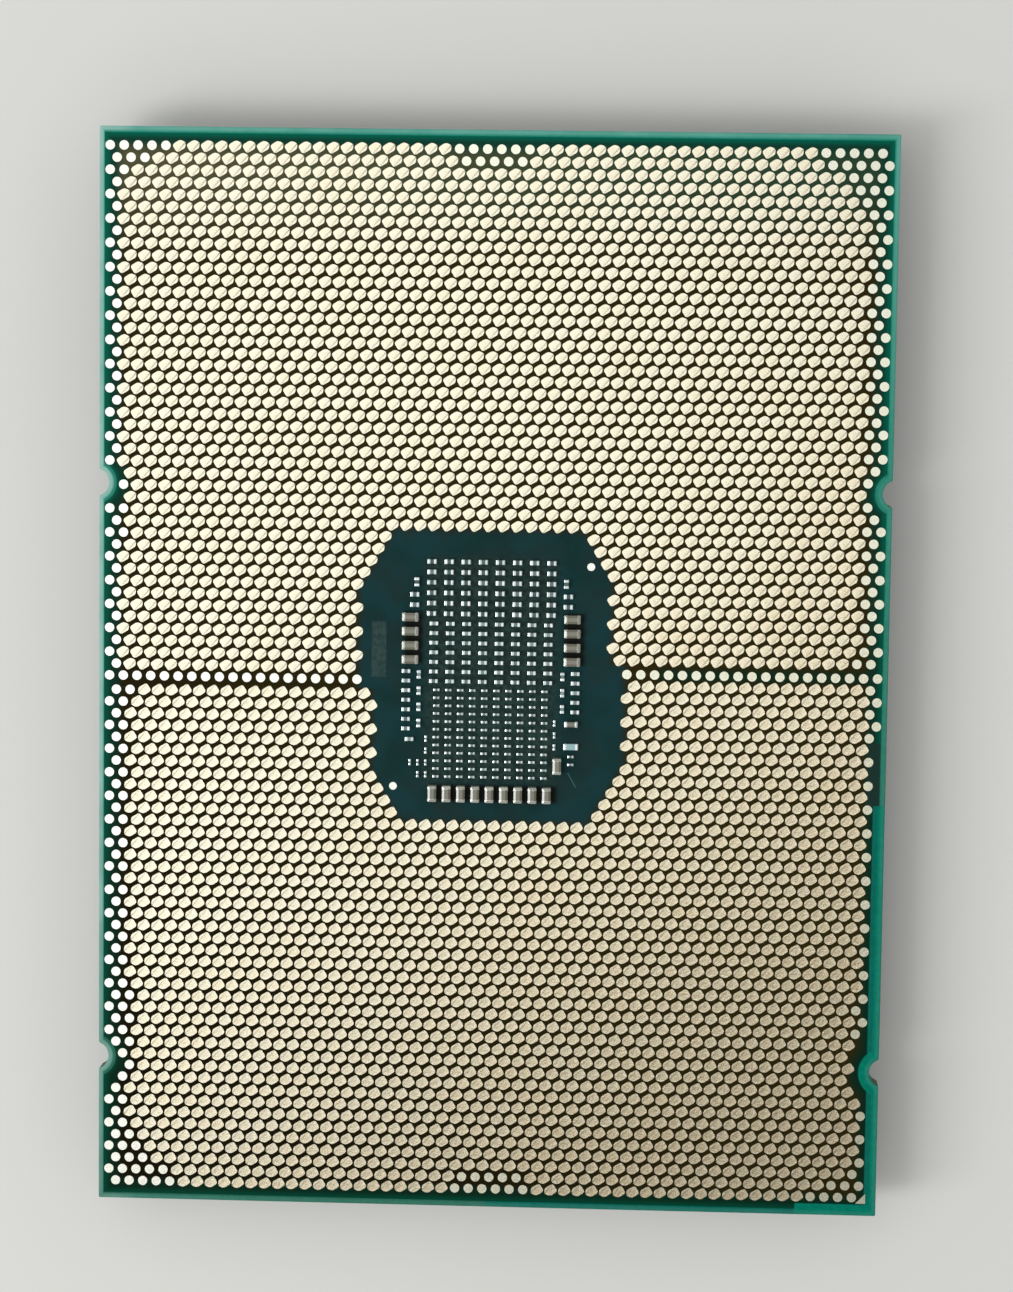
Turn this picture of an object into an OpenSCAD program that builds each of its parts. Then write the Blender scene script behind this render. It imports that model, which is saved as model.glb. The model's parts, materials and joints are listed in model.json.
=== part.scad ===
// Land-grid server processor, lying on its heat spreader with the land side up, in millimetres.
// The origin is on the heat spreader's outer face, below the middle of the package.
// +X is the package's short side, +Y its long side towards the upper pair of notches.

/* [Package substrate] */
// Width of the laminate substrate
package_w = 56.5; // [55:0.1:60]
// Length of the laminate substrate
package_l = 77.5; // [75:0.1:82]
// Thickness of the laminate substrate
substrate_t = 1.9; // [1.2:0.05:2.6]
// Radius of the four key notches
notch_r = 1.0; // [0.8:0.05:1.2]
// Depth of the key notches, in from the long edges
notch_depth = 0.7; // [0.4:0.05:0.9]
// Distance of the upper pair of notches above the middle of the package
notch_upper_y = 13.5; // [12:0.1:16]
// Distance of the lower pair of notches below the middle of the package
notch_lower_y = 28.2; // [24:0.1:32]

/* [Lands] */
// Distance between neighbouring lands in a row
land_pitch = 0.9906; // [0.95:0.0001:1.05]
// Diameter of the contact lands
land_d = 0.86; // [0.7:0.01:0.9]
// Diameter of the smaller round lands
round_land_d = 0.7; // [0.5:0.01:0.84]
// Height of the plated lands above the substrate
land_t = 0.04; // [0.02:0.005:0.08]
// Least distance from a long edge to the middle of a land
land_edge = 0.75; // [0.6:0.01:1.5]
// Least distance from a short edge to the middle of a land
land_end = 1.3; // [0.6:0.01:2]
// Extra space between the upper and the lower half of the land pattern
half_gap = 0.165; // [0:0.005:0.4]
// Distance from a notch's centre that stays free of lands
notch_clear = 1.88; // [1.6:0.01:2.4]
// The same at the notch on the marked edge, at the lower right
marked_notch_clear = 2.53; // [1.6:0.01:3]
// Leg of the triangular land that marks the lower right corner
marker_leg = 0.72; // [0.4:0.01:0.8]

/* [Clear area] */
// Half length of the middle area without lands
clear_l = 10.38; // [9.5:0.01:12]
// Half width of the clear area on its wide side
clear_wide = 9.41; // [7.5:0.01:12]
// Half width of the clear area on its narrow side
clear_narrow = 8.42; // [7.5:0.01:12]
// Half width of the clear area's end, beside the wide side
clear_end_wide = 6.93; // [5:0.01:7.4]
// Half width of the clear area's end, beside the narrow side
clear_end_narrow = 6.43; // [5:0.01:7.4]
// Diameter of the two fiducial marks
fiducial_d = 0.56; // [0.3:0.01:0.8]
// Distance of the fiducial marks from the middle, across the package
fiducial_x = 7.0; // [6.5:0.05:7.2]
// Distance of the fiducial marks from the middle, along the package
fiducial_y = 8.0; // [7:0.05:8.4]

/* [Land side chips] */
// Length, width and height of the large capacitors over their ends
large_size = [1.14, 0.62, 0.55]; // [0.3:0.01:1.4]
// Length of a metal end on the large capacitors
large_end = 0.22; // [0.1:0.01:0.35]
// Length, width and height of the medium capacitor over its ends
medium_size = [0.94, 0.4, 0.4]; // [0.2:0.01:1.2]
// Length of a metal end on the medium capacitor
medium_end = 0.2; // [0.1:0.01:0.3]
// Length, width and height of the resistor over its ends
resistor_size = [1.04, 0.46, 0.28]; // [0.2:0.01:1.2]
// Length of a metal end on the resistor
resistor_end = 0.2; // [0.1:0.01:0.3]
// Length, width and height of the small capacitors over their ends
small_size = [0.64, 0.34, 0.32]; // [0.2:0.01:0.8]
// Length of a metal end on the small capacitors
small_end = 0.19; // [0.1:0.01:0.24]
// Length, width and height of the slim capacitors over their ends
slim_size = [0.6, 0.28, 0.28]; // [0.2:0.01:0.7]
// Length of a metal end on the slim capacitors
slim_end = 0.18; // [0.1:0.01:0.22]
// Length, width and height of the tiny capacitors over their ends
tiny_size = [0.44, 0.18, 0.18]; // [0.15:0.01:0.5]
// Length of a metal end on the tiny capacitors
tiny_end = 0.14; // [0.08:0.01:0.18]
// How far the metal ends stand out round the bodies
end_lap = 0.012; // [0.005:0.001:0.02]
// Foot of a solder fillet as a share of the chip's height
fillet_foot = 0.25; // [0.15:0.01:0.4]
// Height that a solder fillet climbs as a share of the chip's height
fillet_climb = 0.5; // [0.3:0.01:0.8]

/* [Chip layout] */
// Columns and rows of the field of slim capacitors, in the middle of the clear area
slim_count = [8, 7]; // [1:1:8]
// Column and row spacing of the slim capacitors
slim_pitch = [1.168, 0.69]; // [0.6:0.001:1.3]
// Middle of the field of slim capacitors
slim_middle = [-0.06, 1.72]; // [-2:0.01:2]
// Columns and rows of the field of small capacitors, above the slim ones
small_count = [8, 6]; // [1:1:8]
// Column and row spacing of the small capacitors
small_pitch = [1.221, 0.744]; // [0.7:0.001:1.3]
// Columns and rows of the field of tiny capacitors, below the slim ones
tiny_count = [10, 12]; // [1:1:12]
// Column and row spacing of the tiny capacitors
tiny_pitch = [0.861, 0.568]; // [0.5:0.001:0.9]
// Space between one field of capacitors and the next
field_gap = 0.41; // [0.2:0.01:0.5]
// Large capacitors in the row below the fields
large_row_count = 9; // [1:1:9]
// Spacing of the large capacitors in that row
large_row_pitch = 1.027; // [0.9:0.001:1.1]
// Space between the fields and the row of large capacitors
large_row_gap = 0.57; // [0.3:0.01:0.9]
// Large capacitors in the column on each side
large_side_count = 4; // [1:1:4]
// Spacing of the large capacitors in the side columns
large_side_pitch = 1.016; // [0.9:0.001:1.1]
// Space between the field of slim capacitors and the large side columns
large_side_gap = 0.83; // [0.5:0.01:1]
// Space between one kind of chip and the next along a side column
chip_gap = 0.4; // [0.2:0.01:0.5]
// Space between the slim capacitors and the medium one on the right
medium_gap = 0.54; // [0.3:0.01:0.7]
// Space between the medium capacitor and the resistor, with an empty place in it
resistor_gap = 1.2; // [0.8:0.01:1.3]
// Space between the left column of slim capacitors and the single one below it
slim_single_gap = 0.48; // [0.3:0.01:0.6]
// Space between the field of small capacitors and the small ones beside it
small_side_gap = 0.57; // [0.3:0.01:0.8]
// Spacing of the slim capacitors that stand upright beside their field
upright_pitch = 1.167; // [0.9:0.001:1.2]
// How far the first upright slim capacitor stands below the first of the side columns
upright_drop = 0.23; // [0:0.01:0.5]
// Space between the field of slim capacitors and the upright ones
upright_gap = 0.61; // [0.3:0.01:0.8]
// Space between the upright slim capacitors and the side columns of slim ones
slim_side_gap = 0.48; // [0.3:0.01:0.6]
// Slim capacitors in the left and the right side column
slim_side_count = [7, 5]; // [1:1:7]
// Upright slim capacitors on the left and on the right
upright_count = [4, 3]; // [1:1:4]
// Space between the field of tiny capacitors and the chips beside it
tiny_side_gap = 0.42; // [0.2:0.01:0.5]
// Upright tiny capacitors in the columns on the left, from the field outwards
tiny_left_count = [4, 2, 1]; // [1:1:4]
// Places left empty below the upright tiny capacitors in those columns
tiny_left_empty = [0, 0, 1]; // [0:1:1]
// Upright tiny capacitors on the right
tiny_right_count = 3; // [1:1:3]
// Rows of the field of tiny capacitors above the upright ones on the right
tiny_right_drop = 4; // [3:1:5]
// Tiny capacitors below the resistor
tiny_below_count = 2; // [1:1:3]
// Height of the single large capacitor above the lowest upright tiny one
large_single_rise = 0.77; // [0.5:0.01:0.8]

/* [Heat spreader] */
// Bare substrate left beside the heat spreader along the long edges
lid_border_side = 2.75; // [1.5:0.05:4]
// Bare substrate left beside the heat spreader along the short edges
lid_border_end = 3.25; // [2:0.05:5]
// Thickness of the heat spreader's flange
flange_t = 1.9; // [1.6:0.05:2.4]
// Width of the step between the flange's edge and the raised face
flange_w = 4.2; // [2:0.1:6]
// Height of the raised face above the flange
raised_t = 1.5; // [0.6:0.05:2]
// Corner radius of the flange
lid_corner_r = 1.6; // [1:0.1:3]
// Corner radius of the raised face
raised_corner_r = 2.4; // [1:0.1:4]
// Bevel along the heat spreader's outer edges
lid_bevel = 0.35; // [0.1:0.05:0.6]
// Width of the heat spreader's foot round its inner recess
lid_foot = 5.0; // [4:0.1:7]
// Corner radius of the inner recess
recess_corner_r = 1.5; // [0.5:0.1:3]
// Thickness of the sealant bead
seal_t = 0.15; // [0.08:0.01:0.3]
// Width of the sealant bead
seal_w = 3.2; // [1.5:0.1:3.4]
// Distance of the sealant bead from the edge of the foot
seal_inset = 0.5; // [0.2:0.1:0.6]
// Width of the vent gap in the sealant bead
vent_w = 4.0; // [1:0.5:8]

/* [Die] */
// Width of the silicon die
die_w = 21.0; // [15:0.5:30]
// Length of the silicon die
die_l = 31.5; // [20:0.5:45]
// Thickness of the silicon die
die_t = 0.78; // [0.5:0.01:0.9]
// Height of the solder bump layer below the die
bump_t = 0.08; // [0.05:0.01:0.12]
// Thickness of the solder layer between the die and the heat spreader
interface_t = 0.25; // [0.1:0.01:0.4]
// How far the solder layer reaches past the die
interface_lap = 0.6; // [0:0.1:1.5]
// Foot of the underfill fillet round the die
underfill_foot = 0.6; // [0.4:0.05:1]
// Height that the underfill climbs on the sides of the die
underfill_climb = 0.3; // [0.1:0.05:0.35]

/* [Hidden] */
$fn = 48;
overshoot = 1;

// Levels, from the heat spreader's outer face up
lid_h = raised_t + flange_t;
component_z = lid_h + seal_t;
land_z = component_z + substrate_t;
die_top_z = component_z - bump_t;
die_back_z = die_top_z - die_t;
recess_z = die_back_z - interface_t;

// Outlines of the heat spreader
lid_w = package_w - 2 * lid_border_side;
lid_l = package_l - 2 * lid_border_end;
raised_w = lid_w - 2 * flange_w;
raised_l = lid_l - 2 * flange_w;
// The raised block runs half way into the flange
raised_h = raised_t + flange_t / 2;
recess_w = lid_w - 2 * lid_foot;
recess_l = lid_l - 2 * lid_foot;

// The land pattern is one half, repeated turned half way round. Row 0 is a half's outermost row.
// A half's last row lies past the middle, so there each half reaches only from its left edge to the middle.
rows_past_middle = 1;
row_pitch = land_pitch * sqrt(3) / 2;
row_shift = land_pitch / 4;
land_cols = floor((package_w - 2 * land_edge - 2 * row_shift) / land_pitch) + 1;
land_rows = floor((package_l / 2 - land_end - half_gap / 2) / row_pitch + 0.5) + rows_past_middle;
notch_x = package_w / 2 + notch_r - notch_depth;
notch_y = [notch_upper_y, notch_lower_y];
left_notch_clear = [notch_clear, marked_notch_clear];
marked_half = 1;
// On the marked edge the outermost column is left bare up to this many rows from the middle
marked_edge_rows = 5;

// Round lands counted in from the ends of the first rows of a half
left_corner_rounds = [5, 3, 2];
right_corner_rounds = [5, 5, 3, 3, 2, 2];
// Rows, for each half, that have a second round land beside the notches and the middle
left_round_pairs = [[28, 30, 32], [14, 16]];
right_round_pairs = [[42], [10, 12, 14, 16, 42]];
// Round lands at the middle of the two outermost rows
end_rounds = [6, 5];

function land_x(row, col) = (col - (land_cols - 1) / 2) * land_pitch
    + (row % 2 == 0 ? -row_shift : row_shift);
function land_y(row) = (land_rows - rows_past_middle - 0.5 - row) * row_pitch + half_gap / 2;
function land_at(row, col) = [land_x(row, col), land_y(row)];
function among(value, list) = len([for (v = list) if (v == value) v]) > 0;

// The clear area's slanted corners follow the land rows, 30 degrees from the long edges
function slant(y) = (clear_l - y) * tan(30);
function in_clear_area(p) = p.y < clear_l
    && p.x > -min(clear_wide, clear_end_wide + slant(p.y))
    && p.x < min(clear_narrow, clear_end_narrow + slant(p.y));
function at_notch(half, p) = norm(p - [-notch_x, notch_y[half]]) < left_notch_clear[half]
    || norm(p - [notch_x, notch_y[half]]) < notch_clear;
function at_marker(half, row, col) = half == marked_half && row == 0 && col == 0;
function on_bare_edge(half, row, col) = half == marked_half && col == 0 && row % 2 == 0
    && row < land_rows - marked_edge_rows;
function past_middle(row, p) = row >= land_rows - 2 * rows_past_middle && p.x > 0;
function has_land(half, row, col, p) = !in_clear_area(p) && !at_notch(half, p) && !past_middle(row, p)
    && !at_marker(half, row, col) && !on_bare_edge(half, row, col);

function left_rounds(half, row) = row < len(left_corner_rounds) ? left_corner_rounds[row]
    : among(row, left_round_pairs[half]) ? 2 : 1;
function right_rounds(half, row) = row < len(right_corner_rounds) ? right_corner_rounds[row]
    : row % 2 == 1 || among(row, right_round_pairs[half]) ? 2 : 1;
function in_end_rounds(row, p) = row < len(end_rounds)
    && abs(p.x + row_shift) < end_rounds[row] / 2 * land_pitch;
function is_round(half, row, col, p) = row == land_rows - 1
    || col < left_rounds(half, row)
    || col >= land_cols - right_rounds(half, row)
    || in_end_rounds(row, p);

function land_places(half, round_ones) = [
    for (row = [0 : land_rows - 1])
        for (col = [0 : land_cols - 1])
            let (p = land_at(row, col))
                if (has_land(half, row, col, p) && is_round(half, row, col, p) == round_ones) p
];

// Places of the chips on the land side: [x, y, turn]
upright = 90;
function field(count, pitch, middle, turn = 0) = [
    for (row = [0 : count.y - 1])
        for (col = [0 : count.x - 1])
            concat(middle + [(col - (count.x - 1) / 2) * pitch.x, (row - (count.y - 1) / 2) * pitch.y], turn)
];
function column(x, top, pitch, count, turn = 0) = [for (i = [0 : count - 1]) [x, top - i * pitch, turn]];
function half_span(count, pitch) = (count - 1) / 2 * pitch;
function half_field(count, pitch, size) = [half_span(count.x, pitch.x), half_span(count.y, pitch.y)]
    + [size.x, size.y] / 2;

slim_half = half_field(slim_count, slim_pitch, slim_size);
small_half = half_field(small_count, small_pitch, small_size);
tiny_half = half_field(tiny_count, tiny_pitch, tiny_size);
small_middle = slim_middle + [0, slim_half.y + field_gap + small_half.y];
tiny_middle = slim_middle - [0, slim_half.y + field_gap + tiny_half.y];
large_row_middle = tiny_middle - [0, tiny_half.y + large_row_gap + large_size.x / 2];

// Distances of the side columns from the middle line of the fields
upright_x = slim_half.x + upright_gap + slim_size.y / 2;
slim_side_x = upright_x + slim_size.y / 2 + slim_side_gap + slim_size.x / 2;
large_side_x = slim_half.x + large_side_gap + large_size.x / 2;
small_side_x = small_half.x + small_side_gap + small_size.x / 2;
small_upright_x = small_half.x + small_side_gap + small_size.y / 2;
tiny_side_x = tiny_half.x + tiny_side_gap + tiny_size.y / 2;
large_single_x = tiny_half.x + tiny_side_gap + large_size.y / 2;

// Heights along the side columns, from the slim side columns up
slim_side_top = slim_middle.y - half_span(slim_count.y, slim_pitch.y) + slim_pitch.y;
large_side_bottom = slim_side_top + slim_size.y / 2 + chip_gap + large_size.y / 2;
large_side_top = large_side_bottom + (large_side_count - 1) * large_side_pitch;
small_side_bottom = large_side_top + large_size.y / 2 + chip_gap + small_size.y / 2;
small_side_top = small_side_bottom + small_pitch.y;
small_upright_y = small_side_top + small_size.y / 2 + chip_gap + small_size.x / 2;
upright_top = slim_side_top - upright_drop;

// Heights along the right side column, from its slim capacitors down
slim_right_bottom = slim_side_top - (slim_side_count[1] - 1) * slim_pitch.y;
medium_y = slim_right_bottom - slim_size.y / 2 - medium_gap - medium_size.y / 2;
resistor_y = medium_y - medium_size.y / 2 - resistor_gap - resistor_size.y / 2;
tiny_side_top = resistor_y - resistor_size.y / 2 - chip_gap - tiny_size.y / 2;
slim_left_bottom = slim_side_top - (slim_side_count[0] - 1) * slim_pitch.y;
slim_single_y = slim_left_bottom - slim_size.y - slim_single_gap;

// The upright tiny capacitors on the left stand level with the foot of the field
tiny_upright_bottom = tiny_middle.y - tiny_half.y + tiny_size.x / 2;
tiny_right_top = tiny_middle.y + half_span(tiny_count.y, tiny_pitch.y) - tiny_right_drop * tiny_pitch.y;
large_single_y = tiny_upright_bottom + large_single_rise;

large_places = concat(
    column(slim_middle.x - large_side_x, large_side_top, large_side_pitch, large_side_count),
    column(slim_middle.x + large_side_x, large_side_top, large_side_pitch, large_side_count),
    field([large_row_count, 1], [large_row_pitch, 0], large_row_middle, upright),
    [[tiny_middle.x + large_single_x, large_single_y, upright]]
);
medium_places = [[slim_middle.x + large_side_x, medium_y, 0]];
resistor_places = [[slim_middle.x + large_side_x, resistor_y, 0]];
small_places = concat(
    field(small_count, small_pitch, small_middle),
    [for (side = [-1, 1]) [small_middle.x + side * small_upright_x, small_upright_y, upright]],
    [for (side = [-1, 1], y = [small_side_bottom, small_side_top])
        [small_middle.x + side * small_side_x, y, 0]]
);
slim_places = concat(
    field(slim_count, slim_pitch, slim_middle),
    column(slim_middle.x - slim_side_x, slim_side_top, slim_pitch.y, slim_side_count[0]),
    column(slim_middle.x + slim_side_x, slim_side_top, slim_pitch.y, slim_side_count[1]),
    column(slim_middle.x - upright_x, upright_top, upright_pitch, upright_count[0], upright),
    column(slim_middle.x + upright_x, upright_top, upright_pitch, upright_count[1], upright),
    [[slim_middle.x - large_side_x, slim_single_y, 0]]
);
tiny_places = concat(
    field(tiny_count, tiny_pitch, tiny_middle),
    [for (i = [0 : len(tiny_left_count) - 1], j = [0 : tiny_left_count[i] - 1])
        let (rise = (j + tiny_left_empty[i]) * tiny_pitch.x)
            [tiny_middle.x - tiny_side_x - i * tiny_pitch.y, tiny_upright_bottom + rise, upright]],
    column(tiny_middle.x + tiny_side_x, tiny_right_top, tiny_pitch.x, tiny_right_count, upright),
    column(slim_middle.x + large_side_x, tiny_side_top, tiny_pitch.y, tiny_below_count)
);

module rounded_rect(w, l, r) {
    square([w, l - 2 * r], center = true);
    square([w - 2 * r, l], center = true);
    for (x = [-1, 1], y = [-1, 1])
        translate([x * (w / 2 - r), y * (l / 2 - r)])
            circle(r);
}

// A plate with rounded corners whose lower outer edge is bevelled
module bevelled_plate(w, l, h, r, bevel) {
    translate([0, 0, bevel])
        linear_extrude(h - bevel)
            rounded_rect(w, l, r);
    for (x = [-1, 1], y = [-1, 1])
        translate([x * (w / 2 - r), y * (l / 2 - r), 0])
            cylinder(h = bevel, r1 = r - bevel, r2 = r);
    rotate([90, 0, 90])
        linear_extrude(w - 2 * r, center = true)
            bevel_profile(l, bevel);
    rotate([90, 0, 0])
        linear_extrude(l - 2 * r, center = true)
            bevel_profile(w, bevel);
}

module bevel_profile(w, bevel) {
    polygon([[-w / 2 + bevel, 0], [w / 2 - bevel, 0], [w / 2, bevel], [-w / 2, bevel]]);
}

// A slab between two levels, centred on the origin
module slab(w, l, low, high) {
    translate([-w / 2, -l / 2, low])
        cube([w, l, high - low]);
}

// Every child stands on the land side at each place
module on_land_side(places) {
    for (p = places)
        translate([p.x, p.y, land_z])
            rotate(p.z)
                children();
}

module chip_body(size, end) {
    slab(size.x - 2 * end, size.y - 2 * end_lap, end_lap, size.z - end_lap);
}

module chip_ends(size, end) {
    for (side = [-1, 1])
        translate([side * (size.x - end) / 2, 0, 0])
            slab(end, size.y, 0, size.z);
}

// Solder climbs part of the way up the outer face of both metal ends
module chip_fillets(size) {
    foot = size.z * fillet_foot;
    climb = size.z * fillet_climb;
    for (turn = [0, 180])
        rotate(turn)
            translate([size.x / 2, 0, 0])
                rotate([90, 0, 0])
                    linear_extrude(size.y - 2 * end_lap, center = true)
                        polygon([[0, 0], [foot, 0], [0, climb]]);
}

module land_discs(half, round_ones, d) {
    rotate(half * 180)
        for (p = land_places(half, round_ones))
            translate([p.x, p.y, land_z])
                cylinder(h = land_t, d = d);
}

module package_substrate() {
    color([0.05, 0.33, 0.26])
        difference() {
            slab(package_w, package_l, component_z, land_z);
            for (x = [-notch_x, notch_x], y = [notch_upper_y, -notch_lower_y])
                translate([x, y, component_z - overshoot])
                    cylinder(h = substrate_t + 2 * overshoot, r = notch_r);
        }
}

module upper_lands() {
    color([0.93, 0.88, 0.74])
        land_discs(0, false, land_d);
}

module lower_lands() {
    color([0.93, 0.88, 0.74])
        land_discs(1, false, land_d);
}

module round_lands() {
    color([0.95, 0.92, 0.84])
        for (half = [0, 1])
            land_discs(half, true, round_land_d);
}

module corner_marker_land() {
    // The right angle points to the corner of the package
    color([0.93, 0.88, 0.74])
        translate([-land_x(0, 0), -land_y(0) - land_d / 2, land_z])
            linear_extrude(land_t)
                polygon([[0, 0], [-marker_leg, 0], [0, marker_leg]]);
}

module fiducial_marks() {
    color([0.95, 0.93, 0.88])
        for (side = [-1, 1])
            translate([side * fiducial_x, side * fiducial_y, land_z])
                cylinder(h = land_t, d = fiducial_d);
}

module large_capacitor_bodies() {
    color([0.52, 0.47, 0.42])
        on_land_side(large_places)
            chip_body(large_size, large_end);
}

module large_capacitor_ends() {
    color([0.82, 0.82, 0.8])
        on_land_side(large_places)
            chip_ends(large_size, large_end);
}

module medium_capacitor_body() {
    color([0.5, 0.47, 0.43])
        on_land_side(medium_places)
            chip_body(medium_size, medium_end);
}

module medium_capacitor_ends() {
    color([0.82, 0.82, 0.8])
        on_land_side(medium_places)
            chip_ends(medium_size, medium_end);
}

module chip_resistor_body() {
    color([0.55, 0.7, 0.72])
        on_land_side(resistor_places)
            chip_body(resistor_size, resistor_end);
}

module chip_resistor_ends() {
    color([0.82, 0.86, 0.86])
        on_land_side(resistor_places)
            chip_ends(resistor_size, resistor_end);
}

module small_capacitor_bodies() {
    color([0.42, 0.42, 0.4])
        on_land_side(small_places)
            chip_body(small_size, small_end);
}

module small_capacitor_ends() {
    color([0.82, 0.82, 0.8])
        on_land_side(small_places)
            chip_ends(small_size, small_end);
}

module slim_capacitor_bodies() {
    color([0.36, 0.38, 0.37])
        on_land_side(slim_places)
            chip_body(slim_size, slim_end);
}

module slim_capacitor_ends() {
    color([0.8, 0.8, 0.78])
        on_land_side(slim_places)
            chip_ends(slim_size, slim_end);
}

module tiny_capacitor_bodies() {
    color([0.34, 0.38, 0.37])
        on_land_side(tiny_places)
            chip_body(tiny_size, tiny_end);
}

module tiny_capacitor_ends() {
    color([0.78, 0.78, 0.76])
        on_land_side(tiny_places)
            chip_ends(tiny_size, tiny_end);
}

module solder_fillets() {
    color([0.75, 0.75, 0.74]) {
        on_land_side(large_places)
            chip_fillets(large_size);
        on_land_side(medium_places)
            chip_fillets(medium_size);
        on_land_side(resistor_places)
            chip_fillets(resistor_size);
        on_land_side(small_places)
            chip_fillets(small_size);
        on_land_side(slim_places)
            chip_fillets(slim_size);
        on_land_side(tiny_places)
            chip_fillets(tiny_size);
    }
}

module heat_spreader() {
    color([0.72, 0.72, 0.7])
        difference() {
            union() {
                bevelled_plate(raised_w, raised_l, raised_h, raised_corner_r, lid_bevel);
                translate([0, 0, raised_t])
                    bevelled_plate(lid_w, lid_l, flange_t, lid_corner_r, lid_bevel);
            }
            translate([0, 0, recess_z])
                linear_extrude(lid_h - recess_z + overshoot)
                    rounded_rect(recess_w, recess_l, recess_corner_r);
        }
}

module lid_sealant() {
    outer_w = lid_w - 2 * seal_inset;
    outer_l = lid_l - 2 * seal_inset;
    color([0.12, 0.12, 0.12])
        translate([0, 0, lid_h])
            linear_extrude(seal_t)
                difference() {
                    rounded_rect(outer_w, outer_l, lid_corner_r);
                    rounded_rect(outer_w - 2 * seal_w, outer_l - 2 * seal_w, recess_corner_r);
                    translate([0, -outer_l / 2])
                        square([vent_w, 2 * seal_w + overshoot], center = true);
                }
}

module die_interface() {
    color([0.75, 0.75, 0.72])
        slab(die_w + 2 * interface_lap, die_l + 2 * interface_lap, recess_z, die_back_z);
}

module silicon_die() {
    color([0.3, 0.31, 0.34])
        slab(die_w, die_l, die_back_z, die_top_z);
}

// The underfill takes in the solder bumps and climbs part of the way up the die's sides
module die_underfill() {
    foot_w = die_w + 2 * underfill_foot;
    foot_l = die_l + 2 * underfill_foot;
    low = die_top_z - underfill_climb;
    color([0.16, 0.15, 0.14])
        difference() {
            translate([0, 0, low])
                bevelled_plate(foot_w, foot_l, component_z - low, underfill_foot, underfill_climb);
            slab(die_w, die_l, low - overshoot, die_top_z);
        }
}

package_substrate();
upper_lands();
lower_lands();
round_lands();
corner_marker_land();
fiducial_marks();
large_capacitor_bodies();
large_capacitor_ends();
medium_capacitor_body();
medium_capacitor_ends();
chip_resistor_body();
chip_resistor_ends();
small_capacitor_bodies();
small_capacitor_ends();
slim_capacitor_bodies();
slim_capacitor_ends();
tiny_capacitor_bodies();
tiny_capacitor_ends();
solder_fillets();
heat_spreader();
lid_sealant();
die_interface();
silicon_die();
die_underfill();
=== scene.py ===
import json
import math
import random

import bpy
import numpy as np
from mathutils import Matrix, Vector


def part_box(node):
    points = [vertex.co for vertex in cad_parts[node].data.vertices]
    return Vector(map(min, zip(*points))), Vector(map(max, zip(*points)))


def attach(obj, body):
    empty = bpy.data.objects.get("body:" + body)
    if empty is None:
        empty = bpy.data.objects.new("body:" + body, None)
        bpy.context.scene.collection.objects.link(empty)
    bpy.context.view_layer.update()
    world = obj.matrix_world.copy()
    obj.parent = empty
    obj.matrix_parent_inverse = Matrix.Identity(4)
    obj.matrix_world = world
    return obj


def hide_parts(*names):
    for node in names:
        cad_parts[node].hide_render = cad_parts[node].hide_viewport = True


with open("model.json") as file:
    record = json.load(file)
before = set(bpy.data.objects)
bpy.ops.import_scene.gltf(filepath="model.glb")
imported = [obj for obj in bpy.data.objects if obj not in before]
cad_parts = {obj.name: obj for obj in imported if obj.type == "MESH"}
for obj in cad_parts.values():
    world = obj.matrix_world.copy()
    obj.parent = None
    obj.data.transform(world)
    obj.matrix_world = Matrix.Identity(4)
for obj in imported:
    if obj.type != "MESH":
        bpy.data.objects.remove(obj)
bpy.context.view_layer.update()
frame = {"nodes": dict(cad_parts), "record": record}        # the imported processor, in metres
mm = 0.001
finest = 1e-7            # m, points closer than this are one
almost = 0.9             # of a unit length or direction, taken as all of it
random.seed(4189)
print("frame loaded:", len(frame["nodes"]), "nodes")


# Selecting and shaping

def deselectAll():
    if bpy.context.mode != "OBJECT":
        bpy.ops.object.mode_set(mode="OBJECT")
    bpy.ops.object.select_all(action="DESELECT")


def makeActive(piece):
    deselectAll()
    piece.select_set(True)
    bpy.context.view_layer.objects.active = piece


def pick(piece, test):     # leaves the piece in edit mode with the edges that pass selected
    makeActive(piece)
    bpy.ops.object.mode_set(mode="EDIT")
    bpy.ops.mesh.select_mode(type="EDGE")
    bpy.ops.mesh.select_all(action="DESELECT")
    bpy.ops.object.mode_set(mode="OBJECT")
    mesh = piece.data
    for edge in mesh.edges:
        start, end = (mesh.vertices[i].co for i in edge.vertices)
        edge.select = test((start + end) / 2, (end - start).normalized())
    bpy.ops.object.mode_set(mode="EDIT")


def editAll(piece):     # leaves the piece in edit mode with everything selected
    makeActive(piece)
    bpy.ops.object.mode_set(mode="EDIT")
    bpy.ops.mesh.select_all(action="SELECT")


def objectMode():
    bpy.ops.object.mode_set(mode="OBJECT")


def bevelPicked(width, segments=1, profile=0.5):
    bpy.ops.mesh.bevel(offset=width, segments=segments, profile=profile, affect="EDGES")
    objectMode()


def applyModifier(piece, kind, **settings):
    makeActive(piece)
    modifier = piece.modifiers.new(kind, kind)
    for name, value in settings.items():
        setattr(modifier, name, value)
    bpy.ops.object.modifier_apply(modifier=modifier.name)


def addBlock(name, low, high):     # a box between two corners, with its place in its mesh
    deselectAll()
    bpy.ops.mesh.primitive_cube_add(size=1, location=(low + high) / 2, scale=high - low)
    bpy.ops.object.transform_apply()
    block = bpy.context.object
    block.name = name
    return block


def roundUprights(block, radius, segments):
    pick(block, lambda middle, way: abs(way.z) > almost)
    bevelPicked(radius, segments)


def mergeDoubles(piece):     # points that fell together become one
    editAll(piece)
    bpy.ops.mesh.remove_doubles(threshold=finest)
    bpy.ops.mesh.dissolve_degenerate(threshold=finest)
    objectMode()


def smoothSides(piece, angle):
    makeActive(piece)
    bpy.ops.object.shade_smooth_by_angle(angle=math.radians(angle))


# Reading places from the frame

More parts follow.
